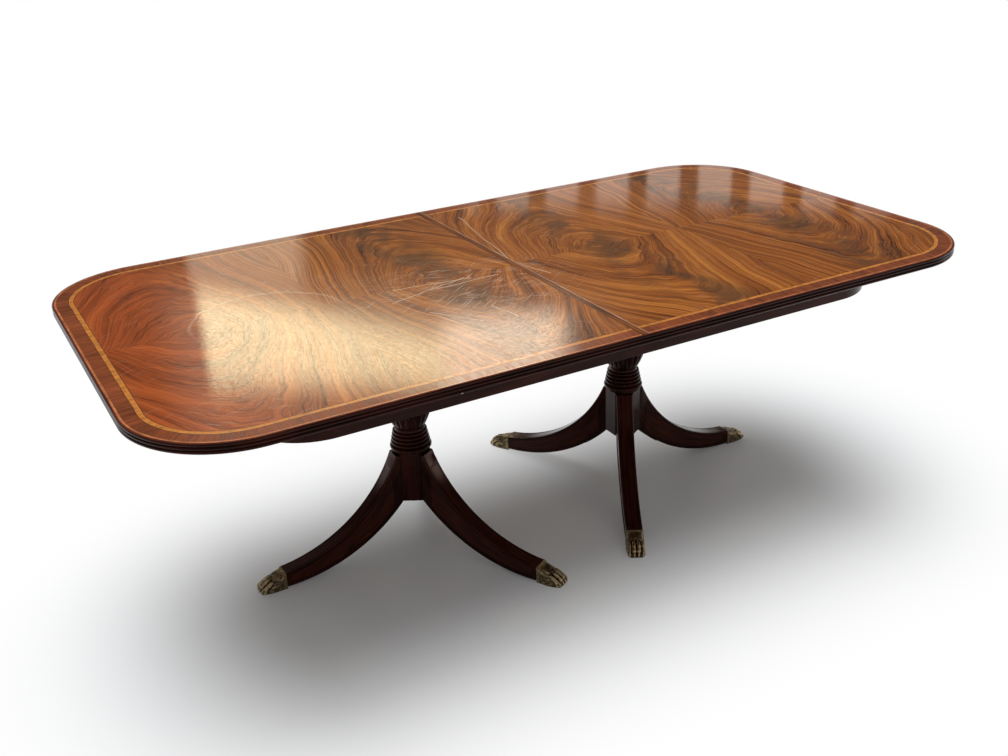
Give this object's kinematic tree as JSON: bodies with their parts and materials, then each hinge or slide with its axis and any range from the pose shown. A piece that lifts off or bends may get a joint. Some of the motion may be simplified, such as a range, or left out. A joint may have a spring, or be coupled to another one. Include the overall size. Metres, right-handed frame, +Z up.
{
  "type": "double pedestal dining table",
  "caption": "Extending dining table: rounded rectangular veneered top with inlaid bands and reeded edge, on turned column pedestals with sabre legs and brass paw caps.",
  "frame": {"origin": "on the floor under the middle of the closed top", "axes": "+X along the length of the top towards the half that draws out, +Y to the back, +Z up"},
  "size_m": [2.286, 1.22, 0.762],
  "materials": {
    "dark_mahogany": "dark red-brown polish",
    "flame_mahogany": "flame figure under gloss polish",
    "crossband_mahogany": "straight grain under gloss polish",
    "satinwood": "light golden veneer under gloss polish",
    "secondary_wood": "plain waxed",
    "antique_brass": "cast, darkened in the hollows",
    "pin_brass": "turned",
    "black_iron": "black, waxed",
    "fastener_steel": "dull zinc"
  },
  "bodies": {
    "left_half": {"apron_back_left": "dark_mahogany", "apron_end_left": "dark_mahogany", "apron_front_left": "dark_mahogany", "bearers_left": "secondary_wood", "column_left": "dark_mahogany", "crossband_left": "crossband_mahogany", "field_veneers_left": "flame_mahogany", "glue_blocks_left": "secondary_wood", "hub_left": "dark_mahogany", "latch_plates": "fastener_steel", "leg_back_left": "dark_mahogany", "leg_front_left": "dark_mahogany", "leg_outer_left": "dark_mahogany", "mounting_plate_left": "secondary_wood", "paw_back_left": "antique_brass", "paw_front_left": "antique_brass", "paw_outer_left": "antique_brass", "pedestal_bolts_left": "fastener_steel", "pedestal_screws_left": "fastener_steel", "reeded_edge_left": "dark_mahogany", "satinwood_band_left": "satinwood", "seam_strip": "dark_mahogany", "slide_left_back": "secondary_wood", "slide_left_front": "secondary_wood", "strap_left": "black_iron", "stringing_left": "satinwood", "top_core_left": "secondary_wood"},
    "right_half": {"alignment_pins": "pin_brass", "apron_back_right": "dark_mahogany", "apron_end_right": "dark_mahogany", "apron_front_right": "dark_mahogany", "bearers_right": "secondary_wood", "column_right": "dark_mahogany", "crossband_right": "crossband_mahogany", "field_veneers_right": "flame_mahogany", "glue_blocks_right": "secondary_wood", "hub_right": "dark_mahogany", "latch_keepers": "fastener_steel", "leg_back_right": "dark_mahogany", "leg_front_right": "dark_mahogany", "leg_outer_right": "dark_mahogany", "mounting_plate_right": "secondary_wood", "paw_back_right": "antique_brass", "paw_front_right": "antique_brass", "paw_outer_right": "antique_brass", "pedestal_bolts_right": "fastener_steel", "pedestal_screws_right": "fastener_steel", "reeded_edge_right": "dark_mahogany", "satinwood_band_right": "satinwood", "slide_right_back": "secondary_wood", "slide_right_front": "secondary_wood", "strap_right": "black_iron", "stringing_right": "satinwood", "top_core_right": "secondary_wood"},
    "middle_slides": {"slide_middle_back": "secondary_wood", "slide_middle_front": "secondary_wood"},
    "latch_front": {"latch_lever_front": "fastener_steel"},
    "latch_back": {"latch_lever_back": "fastener_steel"}
  },
  "joints": [
    {"name": "extension", "type": "slide", "parent": "left_half", "child": "right_half", "axis": [1, 0, 0], "range_m": [0, 0.914]},
    {"name": "middle_slides_run", "type": "slide", "parent": "left_half", "child": "middle_slides", "axis": [1, 0, 0], "range_m": [0, 0.457]},
    {"name": "latch_front_swing", "type": "hinge", "parent": "left_half", "child": "latch_front", "pos_m": [-0.03, -0.397, 0.734], "axis": [0, 0, -1], "range_deg": [0, 90]},
    {"name": "latch_back_swing", "type": "hinge", "parent": "left_half", "child": "latch_back", "pos_m": [-0.03, 0.397, 0.734], "axis": [0, 0, 1], "range_deg": [0, 90]}
  ],
  "couplings": [
    {"joint": "middle_slides_run", "follows": "extension", "ratio": 0.5}
  ]
}
